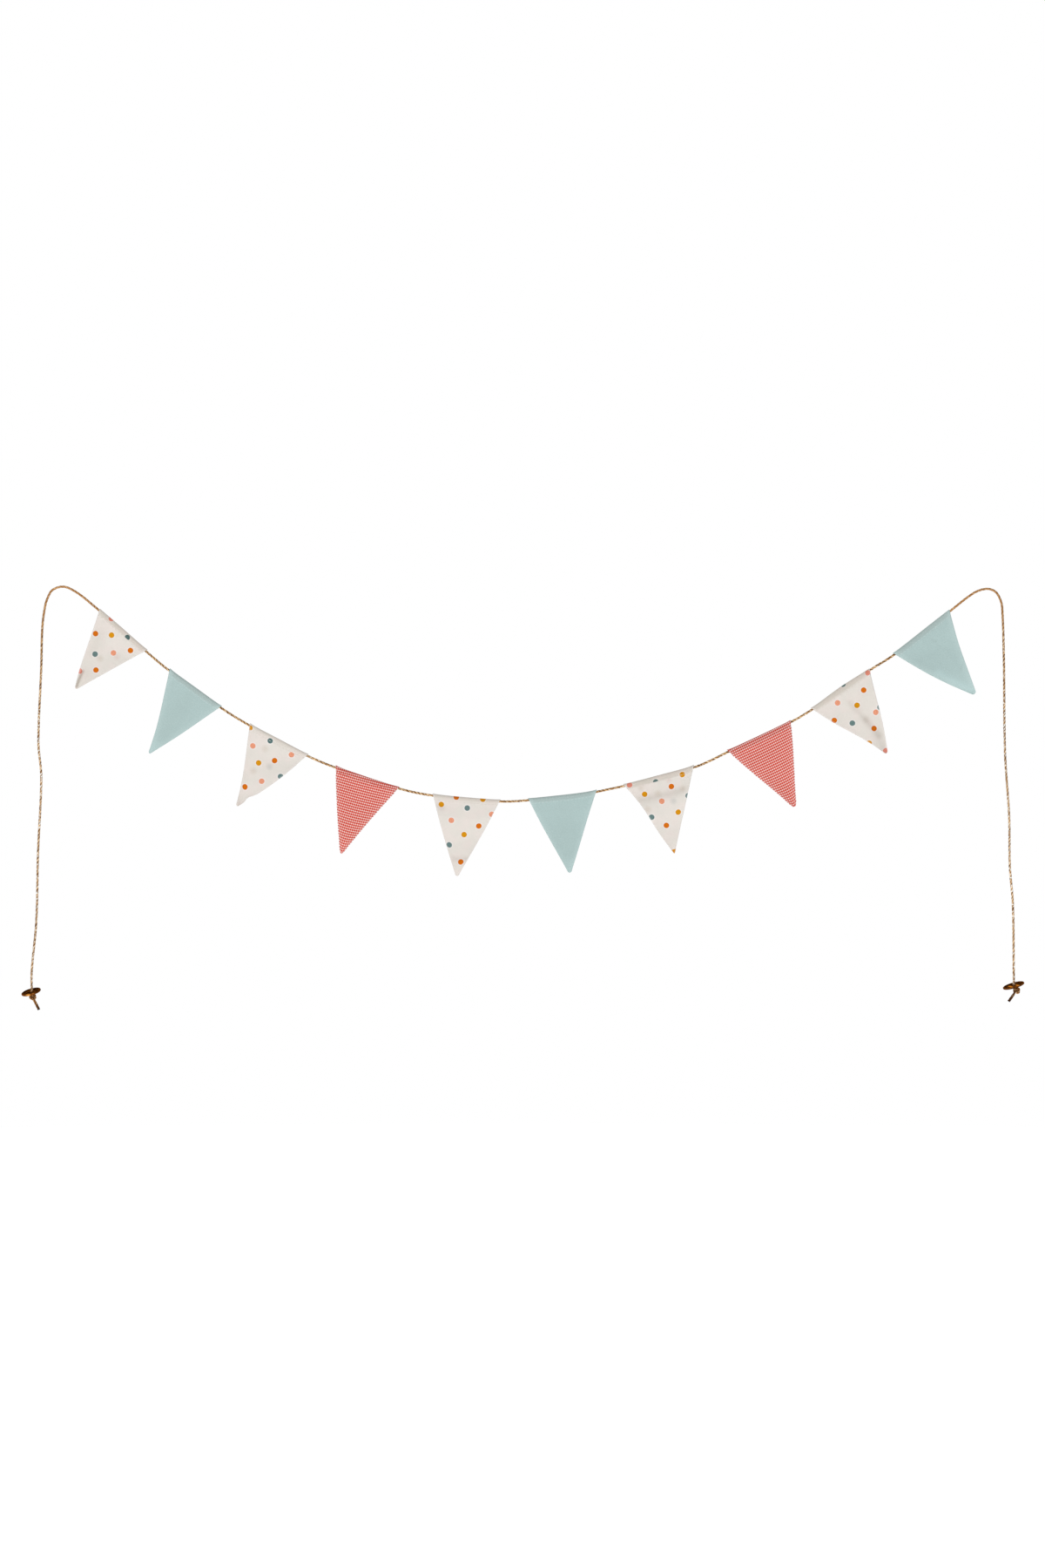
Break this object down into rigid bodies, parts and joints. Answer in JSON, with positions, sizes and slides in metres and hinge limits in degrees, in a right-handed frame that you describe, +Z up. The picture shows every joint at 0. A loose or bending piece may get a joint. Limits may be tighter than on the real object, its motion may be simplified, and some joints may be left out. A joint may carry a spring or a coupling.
{
  "type": "fabric bunting",
  "caption": "String of small triangular cloth pennants stitched over a thin twisted cord that hangs in a swag, with a metal disc and a knot at each free end.",
  "frame": {"origin": "underside of the cord at the top of the left bend, where the bunting hangs on its left pin", "axes": "+X along the bunting from the left pin towards the right one, +Z up, the front of the cloth faces -Y"},
  "size_m": [0.5757, 0.0125, 0.2437],
  "materials": {
    "dotted_cotton": "plain-woven off-white cotton printed with small orange, mustard, salmon, coral and teal dots",
    "blue_cotton": "plain-woven grey-blue cotton, matt",
    "gingham_cotton": "red and white woven check of about 1.2 mm, with slightly frayed cut edges",
    "lurex_cord": "thin twisted cord with a metallic gold thread",
    "antique_disc": "dark antique brass, polished, with warm reflections"
  },
  "bodies": {
    "root": {"cord": "lurex_cord", "pennant_01": "dotted_cotton", "pennant_02": "blue_cotton", "pennant_03": "dotted_cotton", "pennant_04": "gingham_cotton", "pennant_05": "dotted_cotton", "pennant_06": "blue_cotton", "pennant_07": "dotted_cotton", "pennant_08": "gingham_cotton", "pennant_09": "dotted_cotton", "pennant_10": "blue_cotton", "disc_left": "antique_disc", "disc_right": "antique_disc", "knot_left": "lurex_cord", "knot_right": "lurex_cord"}
  },
  "joints": []
}
